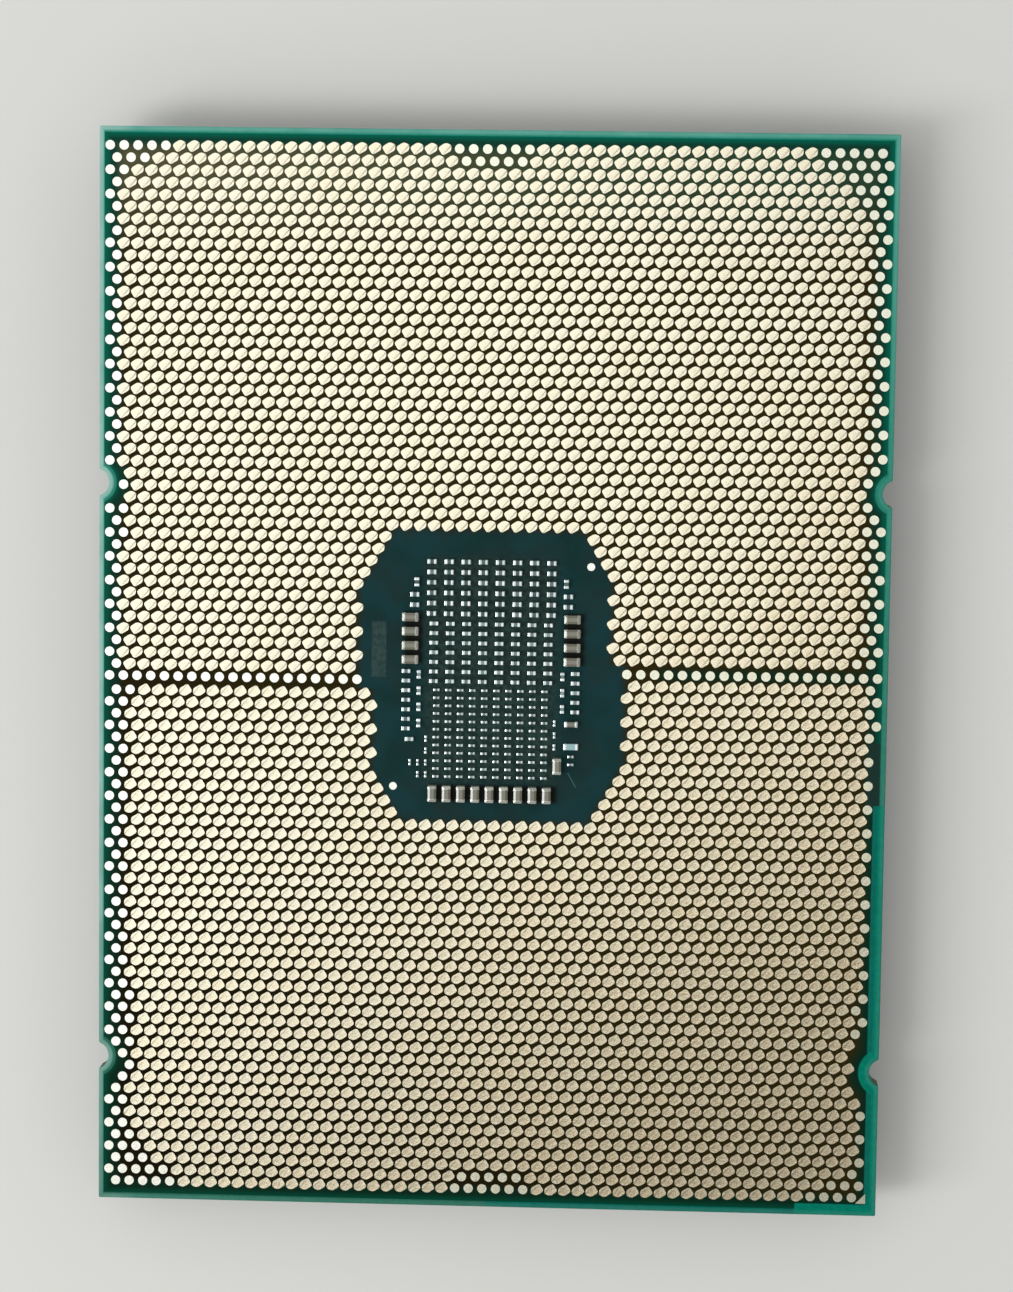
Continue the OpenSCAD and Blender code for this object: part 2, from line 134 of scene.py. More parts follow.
def islands(nodeName):     # middle and size of every separate solid of a node
    mesh = frame["nodes"][nodeName].data
    places = np.empty(len(mesh.vertices) * 3)
    mesh.vertices.foreach_get("co", places)
    corners = np.empty(len(mesh.loops), np.int64)
    mesh.loops.foreach_get("vertex_index", corners)
    points, sameAs = np.unique(np.round(places.reshape(-1, 3) / finest), axis=0, return_inverse=True)
    triangles = sameAs.reshape(-1)[corners].reshape(-1, 3)
    label, before = np.arange(len(points)), None
    while before is None or (label != before).any():     # the lowest number spreads over each solid
        before = label.copy()
        np.minimum.at(label, triangles.ravel(), np.repeat(label[triangles].min(axis=1), 3))
        label = label[label]
    _, group = np.unique(label, return_inverse=True)
    order = np.argsort(group, kind="stable")
    first = np.flatnonzero(np.diff(group[order], prepend=-1))
    low = np.minimum.reduceat(points[order], first) * finest
    high = np.maximum.reduceat(points[order], first) * finest
    return (low + high) / 2, high - low


def chipPlaces(bodyNode, endNode):     # where each chip stands, and its size over its metal ends
    bodies, _ = islands(bodyNode)
    ends, endSizes = islands(endNode)
    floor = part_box(endNode)[0].z
    places = []
    for body in bodies:
        near = np.argsort(np.linalg.norm(ends - body, axis=1))[:2]
        left, right = sorted((ends[i] for i in near), key=lambda p: (round(p[0], 6), p[1]))
        turn = math.atan2(right[1] - left[1], right[0] - left[0])
        places.append(Matrix.Translation((body[0], body[1], floor)) @ Matrix.Rotation(turn, 4, "Z"))
    apart = np.linalg.norm(right - left)
    along, across = (0, 1) if abs(right[0] - left[0]) > abs(right[1] - left[1]) else (1, 0)
    lastEnd = endSizes[near[0]]
    size = Vector((apart + lastEnd[along], lastEnd[across], lastEnd[2]))
    return places, size, lastEnd[along]


# Copying what repeats

def setTone(piece, tone):
    shade = piece.data.attributes.new("tone", "FLOAT", "POINT")
    shade.data.foreach_set("value", [tone] * len(piece.data.vertices))


def copyTo(master, places):     # one copy at each place, each with its own mesh and tone
    copies = []
    for place in places:
        copy = master.copy()
        copy.data = master.data.copy()
        copy.data.transform(place)
        setTone(copy, random.random())
        bpy.context.collection.objects.link(copy)
        copies.append(copy)
    bpy.data.objects.remove(master)
    return copies


def joinAll(name, pieces):
    deselectAll()
    for piece in pieces:
        piece.select_set(True)
    bpy.context.view_layer.objects.active = pieces[0]
    if len(pieces) > 1:
        bpy.ops.object.join()
    piece = bpy.context.object
    piece.name = name
    piece.data.name = name
    return piece


def mapInCells(piece, count):     # gives each copy its own cell of the joined piece's map
    layer = piece.data.uv_layers["OFBake"]
    spots = np.empty(len(layer.uv) * 2)
    layer.uv.foreach_get("vector", spots)
    cells, side = np.arange(count), math.ceil(math.sqrt(count))
    corners = np.stack((cells % side, cells // side), axis=1)[:, None, :]
    layer.uv.foreach_set("vector", ((spots.reshape(count, -1, 2) + corners) / side).ravel())


def joinCopies(name, copies):
    piece = joinAll(name, copies)
    mapInCells(piece, len(copies))
    return piece


def mapAround(piece, angle=60, gap=0.04):     # unwraps a single piece by its flat sides
    piece.data.uv_layers.new(name="OFBake")
    editAll(piece)
    bpy.ops.uv.smart_project(angle_limit=math.radians(angle), island_margin=gap)
    objectMode()


def settle(piece, finish, slotName, *nodes):
    piece.data.materials.clear()
    for material in finish if isinstance(finish, tuple) else (finish,):
        piece.data.materials.append(material)
    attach(piece, "root")
    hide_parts(*nodes)
    return piece


# Shader maths as Python expressions

class Wire:
    def __init__(self, paint, socket):
        self.paint = paint
        self.socket = socket

    def math(self, operation, *values):
        return self.paint.node("ShaderNodeMath", {"operation": operation}, dict(enumerate(values)))

    def __add__(self, other):
        return self.math("ADD", self, other)

    def __radd__(self, other):
        return self.math("ADD", other, self)

    def __sub__(self, other):
        return self.math("SUBTRACT", self, other)

    def __rsub__(self, other):
        return self.math("SUBTRACT", other, self)

    def __mul__(self, other):
        return self.math("MULTIPLY", self, other)

    def __rmul__(self, other):
        return self.math("MULTIPLY", other, self)

    def __truediv__(self, other):
        return self.math("DIVIDE", self, other)

    def __pow__(self, other):
        return self.math("POWER", self, other)

    def __lt__(self, other):
        return self.math("LESS_THAN", self, other)

    def __gt__(self, other):
        return self.math("GREATER_THAN", self, other)

    def __abs__(self):
        return self.math("ABSOLUTE", self)

    def least(self, other):
        return self.math("MINIMUM", self, other)

    def most(self, other):
        return self.math("MAXIMUM", self, other)

    def sine(self):
        return self.math("SINE", self)


class Paint:     # a material, or the world, under the brush
    def __init__(self, name, kind="materials"):
        self.material = getattr(bpy.data, kind).new(name)
        self.material.use_nodes = True
        self.tree = self.material.node_tree
        self.tree.nodes.clear()

    def node(self, kind, settings=None, sockets=None, output=0):
        made = self.tree.nodes.new(kind)
        for name, value in (settings or {}).items():
            if name == "stops":
                fillRamp(made.color_ramp, value)
            else:
                setattr(made, name, value)
        for name, value in (sockets or {}).items():
            if isinstance(value, Wire):
                self.tree.links.new(value.socket, made.inputs[name])
            else:
                made.inputs[name].default_value = value
        return Wire(self, made.outputs[output]) if made.outputs else None

    def place(self):     # x, y and z on the piece, in millimetres
        spot = self.node("ShaderNodeTexCoord", output="Object")
        split = self.node("ShaderNodeSeparateXYZ", sockets={"Vector": spot}).socket.node
        return [Wire(self, split.outputs[axis]) / mm for axis in "XYZ"]

    def noise(self, perMm, detail=2.0, roughness=0.5, stretch=(1, 1, 1)):
        spot = self.node("ShaderNodeTexCoord", output="Object")
        scaled = self.node("ShaderNodeMapping", sockets={"Vector": spot, "Scale": stretch})
        sockets = {"Vector": scaled, "Scale": perMm / mm, "Detail": detail, "Roughness": roughness}
        return self.node("ShaderNodeTexNoise", sockets=sockets)

    def tone(self):     # the copy's own shade, from 0 to 1
        return self.node("ShaderNodeAttribute", {"attribute_name": "tone"}, output="Fac")

    def ramp(self, value, *stops):
        return self.node("ShaderNodeValToRGB", {"stops": stops}, {"Fac": value})

    def fade(self, value, low, high):     # 0 up to low, 1 from high on
        sockets = {"Value": value, "From Min": low, "From Max": high}
        return self.node("ShaderNodeMapRange", {"interpolation_type": "SMOOTHSTEP"}, sockets)

    def mix(self, factor, first, second, blend="MIX"):
        settings = {"data_type": "RGBA", "blend_type": blend}
        return self.node("ShaderNodeMix", settings, {0: factor, 6: first, 7: second}, output=2)

    def bump(self, height, strength, distance):
        sockets = {"Height": height, "Strength": strength, "Distance": distance * mm}
        return self.node("ShaderNodeBump", sockets=sockets)

    def done(self, **sockets):
        sockets = {name.replace("_", " "): value for name, value in sockets.items()}
        shader = self.node("ShaderNodeBsdfPrincipled", sockets=sockets)
        self.node("ShaderNodeOutputMaterial", sockets={"Surface": shader})
        return self.material


def fillRamp(ramp, stops):
    while len(ramp.elements) < len(stops):
        ramp.elements.new(1.0)
    for element, (position, colour) in zip(ramp.elements, stops):
        element.position = position
        element.color = colour


def tint(red, green, blue):     # a colour as it looks on screen, made linear
    def linear(level):
        share = level / 255
        return share / 12.92 if share <= 0.04045 else ((share + 0.055) / 1.055) ** 2.4
    return linear(red), linear(green), linear(blue), 1.0


# Board

boardLook = {
    "notchRadius": 1.0,           # mm
    "notchPoints": 64,
    "edgeRound": 0.09,
    "edgeSegments": 2,
    "rim": {"left": 0.36, "top": 0.44, "right": 0.4, "bottom": 0.42, "notch": 0.55},     # mm
    "wideRim": {"right": 0.86, "bottom": 0.84, "notch": 0.78},
    "wideBelow": -8.8,            # mm, the right band is wide below this, and the notch in it
    "wideFrom": 22.4,             # mm, the bottom band is wide right of this
    "innerBand": 0.5,             # mm from the edge, where the wide right band turns greyer
    "rimSoft": 0.05,
    "rimMottle": 0.2,
    # upper and lower colours: painted shade, darker towards the bottom edge, as the light comes from the
    # top
    "rimUpper": tint(44, 146, 126),
    "rimLower": tint(50, 112, 92),
    "rimRight": tint(2, 129, 107),
    "rimInner": tint(12, 110, 96),
    "edgeLine": (0.2, 0.42),      # mm, paler line at the very edge, and where it ends; partly the routed edge's own colour, partly painted highlight
    "edgeLeft": tint(154, 202, 191),
    "edgeTop": tint(104, 176, 160),
    "edgeTurn": (1, 3),           # mm from the left edge, over which the one turns into the other
    "paleLineShares": (0.7, 0.3),     # even and cloudy shares of the paler line
    "highlightLoss": 0.85,             # how much of the line is gone at the lower right, away from the light
    # painted shade: the under-rim and near-lands greens darker towards the bottom edge
    "underRimUpper": tint(0, 98, 78),
    "underRimLower": tint(0, 66, 48),
    "nearLandsUpper": tint(14, 62, 48),
    "nearLandsLower": tint(8, 42, 28),
    "betweenPale": tint(47, 39, 10),
    "betweenDark": tint(22, 18, 2),
    "darkCorner": (-60, 10),      # mm along x + y, over which the lower left goes from dark to pale
    "topGlowLeft": tint(86, 84, 58),           # between the first rows
    "topGlowRight": tint(44, 70, 50),
    "topGlowFrom": (10.0, 2.0),   # mm below the top edge
    "seam": tint(18, 44, 26),     # along the right half of the middle row
    "seamBox": (12.0, -0.1, 27.2, 0.8),        # mm, x and y of two corners
    "seamSoft": 0.4,
    "bare": tint(30, 54, 48),     # beside the right band, above where it widens
    "bareBox": (26.9, -8.8, 27.84, -4.3),
    "bareSoft": 0.15,
    "fadeIn": (0.45, 0.95, 1.9),  # mm from the edge, over which the green goes dark and then brown
    "clear": tint(25, 60, 63),
    "clearDark": tint(22, 52, 52),
    "clearWarm": tint(33, 53, 51),
    "clearWide": 9.41,            # mm, half widths and half length of the clear area
    "clearNarrow": 8.42,
    "clearEndWide": 6.93,
    "clearEndNarrow": 6.43,
    "clearHalfLength": 10.38,
    "clearSlant": 30,             # degrees from the long edges
    "clearStep": 1.0,             # mm from the middle, where wide and narrow sides change over
    "clearSoft": (-0.6, 0.35),
    "warmShare": 0.6,
    "fieldBox": (-4.75, -7.65, 4.65, 8.4),     # greyer round the small chips
    "fieldSoft": 0.6,
    "fieldShare": 0.85,
    "field": tint(50, 70, 65),
    "fieldDark": tint(33, 50, 45),
    "chipShadowBoxes": ((-6.3, 0.9, -5.0, 4.6), (5.1, 0.9, 6.6, 4.6), (-4.3, -9.05, 4.75, -7.85)),
    "chipShadowSoft": 0.2,
    "column": tint(26, 22, 16),   # painted shadow between the large chips and beside them
    "patchBox": (-8.62, -0.15, -7.58, 3.86),   # a plain patch a shade lighter than the clear area
    "patchSoft": 0.04,
    "patchShares": (0.35, 0.4),   # even and mottled
    "patch": tint(62, 84, 80),
    "scratch": (5.55, -6.86, 6.1, -7.84),      # mm, its two ends
    "scratchWidth": 0.05,
    "scratchPale": tint(66, 104, 98),
    "underside": tint(14, 84, 66),
    "cloudPerMm": 0.3,
    "grainPerMm": 3.0,
    "driftPerMm": 0.5,
    "noiseSpan": (0.35, 0.65),
    "driftSpan": (0.42, 0.68),
    "roughness": (0.4, 0.14),     # even, and with the grain
    "specular": 0.03,
    "bump": (0.15, 0.02),         # strength, and mm
    "wallTilt": 0.3,              # faces that look up or down less than this are walls
    "bevelAngle": 40,             # degrees
    "smoothAngle": 20,
}


def boxMask(paint, x, y, corners, soft):     # 1 inside the box between two corners
    left, bottom, right, top = corners
    return paint.fade((x - left).least(right - x).least(y - bottom).least(top - y), -soft, soft)


def lineMask(paint, x, y, ends, width):     # 1 along a straight line between two points
    startX, startY, endX, endY = ends
    wayX, wayY = endX - startX, endY - startY
    share = ((x - startX) * wayX + (y - startY) * wayY) / (wayX ** 2 + wayY ** 2)
    share = share.most(0).least(1)
    awayX, awayY = x - startX - share * wayX, y - startY - share * wayY
    return 1 - paint.fade((awayX * awayX + awayY * awayY) ** 0.5, width / 4, width)


# The bright band, its saturated part, the marked side and the way to the edge
def rimMasks(paint, look, x, y, halfW, halfL, notches):
    def band(distance, width):
        return 1 - paint.fade(distance - width, -look["rimSoft"], look["rimSoft"])

    rim, wide = look["rim"], look["wideRim"]
    lower, corner = y < look["wideBelow"], x > look["wideFrom"]
    left, right, bottom, top = halfW + x, halfW - x, halfL + y, halfL - y
    notch = None
    for place in notches:
        away = ((x - place[0]) ** 2 + (y - place[1]) ** 2) ** 0.5 - look["notchRadius"]
        notch = away if notch is None else notch.least(away)
    marked = lower * (x > 0)
    mask = band(left, rim["left"]).most(band(top, rim["top"]))
    mask = mask.most(band(right, rim["right"] + (wide["right"] - rim["right"]) * lower))
    mask = mask.most(band(bottom, rim["bottom"] + (wide["bottom"] - rim["bottom"]) * corner))
    mask = mask.most(band(notch, rim["notch"] + (wide["notch"] - rim["notch"]) * marked))
    strong = band(right, look["innerBand"]).most(band(bottom, wide["bottom"]) * corner)
    strong = strong.most(band(notch, wide["notch"])) * marked
    edge = left.least(right).least(top).least(bottom).least(notch)
    return mask, strong, marked, edge


def clearMask(paint, look, x, y):     # its lower half is its upper half turned half way round
    slant = (look["clearHalfLength"] - abs(y)) * math.tan(math.radians(look["clearSlant"]))

    def reach(onWide):
        side = look["clearNarrow"] + (look["clearWide"] - look["clearNarrow"]) * onWide
        end = look["clearEndNarrow"] + (look["clearEndWide"] - look["clearEndNarrow"]) * onWide
        return (slant + end).least(side)

    left, right = reach(y > -look["clearStep"]), reach(y < look["clearStep"])
    inside = (x + left).least(right - x).least(look["clearHalfLength"] - abs(y))
    return paint.fade(inside, *look["clearSoft"])


def boardPaint(look, halfW, halfL, notches, underZ):
    paint = Paint("solderMask")
    x, y, z = paint.place()
    rim, strong, marked, edge = rimMasks(paint, look, x, y, halfW, halfL, notches)
    cloud = paint.fade(paint.noise(look["cloudPerMm"], 3), *look["noiseSpan"])
    grain = paint.noise(look["grainPerMm"], 3)
    mottle = paint.fade(grain, *look["noiseSpan"])

    drift = paint.fade(paint.noise(look["driftPerMm"], 2), *look["driftSpan"])
    clear = paint.mix(cloud, look["clear"], look["clearDark"])
    clear = paint.mix(drift * look["warmShare"], clear, look["clearWarm"])
    field = paint.mix(mottle, look["fieldDark"], look["field"])
    inField = boxMask(paint, x, y, look["fieldBox"], look["fieldSoft"])
    clear = paint.mix(inField * look["fieldShare"], clear, field)
    # painted shadow round the large chips
    for corners in look["chipShadowBoxes"]:
        inChipShadow = boxMask(paint, x, y, corners, look["chipShadowSoft"])
        clear = paint.mix(inChipShadow * look["fieldShare"], clear, look["column"])
    inPatch = boxMask(paint, x, y, look["patchBox"], look["patchSoft"])
    plain, mottled = look["patchShares"]
    clear = paint.mix(inPatch * (plain + mottled * mottle), clear, look["patch"])
    onScratch = lineMask(paint, x, y, look["scratch"], look["scratchWidth"])
    clear = paint.mix(onScratch, clear, look["scratchPale"])

    # painted shade: the band and the greens near it darken towards the bottom edge, as the light comes
    # from the top
    paintedTopLight = paint.fade(y, -halfL, halfL)
    underRim = paint.mix(paintedTopLight, look["underRimLower"], look["underRimUpper"])
    nearLands = paint.mix(paintedTopLight, look["nearLandsLower"], look["nearLandsUpper"])
    pale = paint.fade(x + y, *look["darkCorner"])
    between = paint.mix(pale, look["betweenDark"], look["betweenPale"])
    glowFrom, glowTo = look["topGlowFrom"]
    glow = paint.mix(paint.fade(x, -halfW, halfW), look["topGlowLeft"], look["topGlowRight"])
    between = paint.mix(paint.fade(y, halfL - glowFrom, halfL - glowTo), between, glow)
    onSeam = boxMask(paint, x, y, look["seamBox"], look["seamSoft"])
    between = paint.mix(onSeam, between, look["seam"])
    first, second, last = look["fadeIn"]
    lands = paint.mix(paint.fade(edge, first, second), underRim, nearLands)
    lands = paint.mix(paint.fade(edge, second, last), lands, between)
    lands = paint.mix(boxMask(paint, x, y, look["bareBox"], look["bareSoft"]), lands, look["bare"])
    lands = paint.mix(clearMask(paint, look, x, y), lands, clear)

    band = paint.mix(paintedTopLight, look["rimLower"], look["rimUpper"])
    band = paint.mix(marked, band, look["rimInner"])
    band = paint.mix(strong, band, look["rimRight"])
    band = paint.mix(mottle * look["rimMottle"], band, underRim)
    # painted highlight over the paler routed edge: palest on the left, less at the top, gone towards the
    # lower right
    plain, clouded = look["paleLineShares"]
    routedEdgeAndHighlight = (1 - paint.fade(edge, *look["edgeLine"])) * (plain + clouded * cloud)
    routedEdgeAndHighlight = routedEdgeAndHighlight * (1 - look["highlightLoss"] * paint.fade(x - y, -halfW, halfW))
    paleEdge = paint.mix(paint.fade(halfW + x, *look["edgeTurn"]), look["edgeLeft"], look["edgeTop"])
    band = paint.mix(routedEdgeAndHighlight, band, paleEdge)
    colour = paint.mix(z < underZ, paint.mix(rim, lands, band), look["underside"])
    smooth, rough = look["roughness"]
    return paint.done(
        Base_Color=colour,
        Roughness=smooth + rough * grain,
        Specular_IOR_Level=look["specular"],
        Normal=paint.bump(grain, *look["bump"]),
    )


laminateLook = {
    "resin": tint(22, 66, 52),
    "core": tint(92, 104, 70),
    "copper": tint(120, 84, 52),
    "layers": 11,
    "coreShare": (0.28, 0.72),    # the glass core, as shares of the thickness
    "coreSoft": 0.02,
    "weavePerMm": 3.0,
    "weaveStretch": (1, 1, 6),
    "weaveShares": (0.6, 0.4),    # even and woven
    "foilSpan": (0.8, 0.98),      # of a sine over the layers
    "foilShare": 0.7,
    "roughness": (0.62, 0.2),     # even, and with the weave
    "specular": 0.3,
    "bump": (0.3, 0.03),          # strength, and mm
}


def laminatePaint(look, lowZ, thickness):
    paint = Paint("laminateEdge")
    share = (paint.place()[2] - lowZ) / thickness
    low, high = look["coreShare"]
    soft = look["coreSoft"]
    core = paint.fade(share, low - soft, low + soft) * (1 - paint.fade(share, high - soft, high + soft))
    weave = paint.noise(look["weavePerMm"], 3, stretch=look["weaveStretch"])
    even, woven = look["weaveShares"]
    shade = paint.mix(core * (even + woven * weave), look["resin"], look["core"])
    foil = paint.fade((share * (look["layers"] * math.tau)).sine(), *look["foilSpan"])
    shade = paint.mix(foil * (1 - core) * look["foilShare"], shade, look["copper"])
    smooth, rough = look["roughness"]
    return paint.done(
        Base_Color=shade,
        Roughness=smooth + rough * weave,
        Specular_IOR_Level=look["specular"],
        Normal=paint.bump(weave, *look["bump"]),
    )


boardMapLook = {                  # shares of the map
    "margin": 0.01,
    "tall": 0.98,
    "underLeft": 0.86,
    "underScale": 0.17,
    "endColumn": 0.75,            # walls at the short edges
    "sideColumn": 0.8,            # walls at the long edges
    "columnStep": 0.025,
    "columnWidth": 0.02,
}


def boardMap(board, low, high, wallTilt):     # mostly the land side, with strips for the walls
    look = boardMapLook
    size, margin = high - low, look["margin"]
    layer = board.data.uv_layers.new(name="OFBake")
    share = look["tall"] / size.y
    underShare = share * look["underScale"]
    for face in board.data.polygons:
        endOn = abs(face.normal.y) > abs(face.normal.x)
        column = look["endColumn"] if endOn else look["sideColumn"]
        if face.normal.x + face.normal.y > 0:
            column += look["columnStep"]
        for loop in face.loop_indices:
            spot = board.data.vertices[board.data.loops[loop].vertex_index].co - low
            if face.normal.z > wallTilt:
                place = (margin + spot.x * share, margin + spot.y * share)
            elif face.normal.z < -wallTilt:
                place = (look["underLeft"] + spot.x * underShare, margin + spot.y * underShare)
            else:
                along = spot.x if endOn else spot.y
                place = (column + spot.z / size.z * look["columnWidth"], margin + along * share)
            layer.uv[loop].vector = place


def makeBoard(look):
    low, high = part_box("package_substrate")
    board = addBlock("board", low, high)
    notches = [m["pos_m"] for m in frame["record"]["mounts"] if m["name"].startswith("notch")]
    for place in notches:
        deselectAll()
        bpy.ops.mesh.primitive_cylinder_add(
            vertices=look["notchPoints"], radius=look["notchRadius"] * mm, depth=2 * (high.z - low.z),
            location=(place[0], place[1], (low.z + high.z) / 2))
        cutter = bpy.context.object
        applyModifier(board, "BOOLEAN", object=cutter, operation="DIFFERENCE", solver="EXACT")
        bpy.data.objects.remove(cutter)
    applyModifier(board, "BEVEL", width=look["edgeRound"] * mm, segments=look["edgeSegments"],
                  limit_method="ANGLE", angle_limit=math.radians(look["bevelAngle"]))
    mergeDoubles(board)
    smoothSides(board, look["smoothAngle"])
    boardMap(board, low, high, look["wallTilt"])
    size = (high - low) / mm
    places = [(place[0] / mm, place[1] / mm) for place in notches]
    mask = boardPaint(look, size.x / 2, size.y / 2, places, (low.z + high.z) / 2 / mm)
    wall = laminatePaint(laminateLook, low.z / mm, size.z)
    settle(board, (mask, wall), "laminate", "package_substrate")
    for face in board.data.polygons:
        face.material_index = int(abs(face.normal.z) < look["wallTilt"])


makeBoard(boardLook)
print("board made")


# Lands

landLook = {
    "radius": 0.6,                # mm, before the flats are cut
    "points": 12,
    "flats": ((28, 0.452), (64, 0.395), (94, 0.376), (123, 0.352), (167, 0.482),     # degrees and mm
              (212, 0.439), (256, 0.478), (300, 0.329), (353, 0.39)),
    "cornerCut": 0.07,
    "pale": tint(252, 247, 221),
    "cool": tint(246, 241, 217),
    # warm is the colour the painted shade takes the lands to, towards the lower right
    "warm": tint(255, 240, 203),
    "blush": tint(252, 246, 238),
    "speck": tint(186, 172, 146),
    "dimpleShade": 1.0,
    "roughness": 0.25,
}
roundLandLook = {
    "radius": 0.338,
    "points": 18,
    "pale": tint(249, 252, 232),
    "cool": tint(249, 252, 243),
    "warm": tint(246, 244, 216),
    "blush": tint(252, 250, 244),
    "speck": tint(200, 196, 176),
    "dimpleShade": 0.6,
    "roughness": 0.28,
}
markLook = {**roundLandLook, "pale": tint(252, 255, 249), "warm": tint(250, 253, 246), "dimpleShade": 0}
goldLook = {                      # what all the lands share
    "paintedShadeSpan": (-0.25, 0.9),    # of the half diagonal, where the painted shade, and with it the turn to warm, starts and ends
    "coolSpan": (20, -70),        # mm along 3 x + y, where the turn to cool starts and ends
    "toneShare": 0.3,             # how far single lands differ
    "grainPerMm": 5.0,
    "grainLeast": 0.2,
    "blushPerMm": 0.16,
    "blushSpan": (0.45, 0.7),
    "blushShare": 0.3,
    "dimpleSpan": (0.14, 0.34),   # mm, the middle painted darker as a dimple's shade, and where it ends
    "dimpleShade": tint(214, 205, 188),
    "dimpleShares": (0.04, 0.26),     # everywhere, and more towards the marked corner
    "speckPerMm": 6.5,
    "speckSpan": (0.62, 0.72),
    "speckShares": (0.1, 0.5),
    "metallic": 0.9,
    "grainRough": 0.12,
    "bumpLeast": 0.25,
    "bump": (1.0, 0.012),         # strength, and mm
}


def landPaint(name, look, halfDiagonal):
    paint = Paint(name)
    x, y, _ = paint.place()
    start, end = goldLook["paintedShadeSpan"]
    paintedShade = paint.fade(x - y, start * halfDiagonal, end * halfDiagonal)     # painted shade, growing towards the marked corner at the lower right, where the light falls off
    blush = paint.fade(paint.noise(goldLook["blushPerMm"], 2), *goldLook["blushSpan"])
    grain = paint.noise(goldLook["grainPerMm"], 3, 0.6) - 0.5
    specks = paint.fade(paint.noise(goldLook["speckPerMm"], 1), *goldLook["speckSpan"])
    middle = paint.node("ShaderNodeAttribute", {"attribute_name": "spot"}, output="Vector")
    away = paint.node("ShaderNodeVectorMath", {"operation": "LENGTH"}, {0: middle}, output="Value") / mm
    # painted shade of a dimple: each flat land is darker in its middle, more so towards the lower right
    dimpleShade = 1 - paint.fade(away, *goldLook["dimpleSpan"])
    ownShade = (paint.tone() - 0.5) * goldLook["toneShare"]
    # the painted shade turns the lands warm towards the lower right and lets their grain and specks show
    # more there
    shade = paintedShade + ownShade + grain * (goldLook["grainLeast"] + paintedShade)
    pale = paint.mix(paint.fade(3 * x + y, *goldLook["coolSpan"]), look["pale"], look["cool"])
    colour = paint.mix(shade.most(0).least(1), pale, look["warm"])
    colour = paint.mix(blush * goldLook["blushShare"], colour, look["blush"], "MULTIPLY")
    least, more = goldLook["dimpleShares"]
    dimpleShadeShare = dimpleShade * (least + more * paintedShade) * look["dimpleShade"]
    colour = paint.mix(dimpleShadeShare, colour, goldLook["dimpleShade"], "MULTIPLY")
    least, more = goldLook["speckShares"]
    colour = paint.mix(specks * dimpleShade * (least + more * paintedShade), colour, look["speck"])
    return paint.done(
        Base_Color=colour,
        Metallic=goldLook["metallic"],
        Roughness=look["roughness"] + goldLook["grainRough"] * grain,
        Normal=paint.bump(grain * (goldLook["bumpLeast"] + paintedShade), *goldLook["bump"]),
    )


def raiseFlat(piece, height):     # gives a flat outline its thickness
    editAll(piece)
    bpy.ops.mesh.extrude_region_move(TRANSFORM_OT_translate={"value": (0, 0, height)})
    bpy.ops.mesh.select_all(action="SELECT")
    bpy.ops.mesh.normals_make_consistent(inside=False)
    objectMode()


def flatDisc(name, radius, points):
    deselectAll()
    bpy.ops.mesh.primitive_circle_add(
        vertices=points, radius=radius, fill_type="NGON", location=(0, 0, 0))
    disc = bpy.context.object
    disc.name = name
    return disc


def cutOff(place, way):     # takes away what lies beyond a flat cut
    bpy.ops.mesh.select_all(action="SELECT")
    bpy.ops.mesh.bisect(plane_co=place, plane_no=way, clear_outer=True, threshold=finest)


def clipTo(disc, flats, cornerCut):     # cuts straight sides into a flat outline, and blunts its corners
    editAll(disc)
    for degrees, distance in flats:
        way = Vector((math.cos(math.radians(degrees)), math.sin(math.radians(degrees)), 0))
        cutOff(way * distance * mm, way)
    bpy.ops.mesh.select_all(action="SELECT")
    bpy.ops.mesh.bevel(offset=cornerCut, segments=1, affect="VERTICES")
    objectMode()


landMapLook = {                   # shares of the map
    "topReach": 0.38,
    "wallWidth": 0.1,
    "underMiddle": 0.04,
    "underReach": 0.03,
}


def mapFromAbove(piece, height):     # the top as seen from above, with its wall laid out round it
    mesh, look = piece.data, landMapLook
    spots = mesh.attributes.new("spot", "FLOAT_VECTOR", "POINT")
    spots.data.foreach_set("vector", [value for v in mesh.vertices for value in (v.co.x, v.co.y, 0)])
    reach = max(v.co.xy.length for v in mesh.vertices)
    layer = mesh.uv_layers.new(name="OFBake")
    for face in mesh.polygons:
        under = face.normal.z < -almost
        middle = look["underMiddle"] if under else 0.5
        for loop in face.loop_indices:
            spot = mesh.vertices[mesh.loops[loop].vertex_index].co
            spread = look["topReach"] + look["wallWidth"] * (1 - spot.z / height)
            spread = (look["underReach"] if under else spread) / reach
            layer.uv[loop].vector = (middle + spread * spot.x, middle + spread * spot.y)


def landPlaces(nodeName, turn):
    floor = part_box(nodeName)[0].z
    middles, _ = islands(nodeName)
    spin = Matrix.Rotation(math.radians(turn), 4, "Z")
    return [Matrix.Translation((middle[0], middle[1], floor)) @ spin for middle in middles]


def spreadLands(name, node, disc, height, finish, turn=0):
    raiseFlat(disc, height)
    mapFromAbove(disc, height)
    copies = copyTo(disc, landPlaces(node, turn))
    print(name, "made:", len(copies), "lands")
    settle(joinCopies(name, copies), finish, "land_gold", node)


def makeMarker(height, finish):     # the three-cornered land at the marked corner
    low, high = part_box("corner_marker_land")
    middle = Vector((low.x + high.x, low.y + high.y, 0)) / 2
    reach = (high - low).xy.length / 2
    marker = flatDisc("cornerMarkerLand", reach, 4)
    editAll(marker)
    cutOff((0, 0, 0), (-1, 1, 0))
    objectMode()
    corners = (Vector((high.x, low.y, 0)), Vector((high.x, high.y, 0)), Vector((low.x, low.y, 0)))
    for vertex in marker.data.vertices:     # the half square's corners go to the land's own
        vertex.co = min(corners, key=lambda corner: (corner - middle - vertex.co).length) - middle
    mergeDoubles(marker)
    raiseFlat(marker, height)
    mapFromAbove(marker, height)
    marker.data.transform(Matrix.Translation((middle.x, middle.y, low.z)))
    setTone(marker, 0.5)     # the middle shade
    settle(marker, finish, "land_gold", "corner_marker_land")


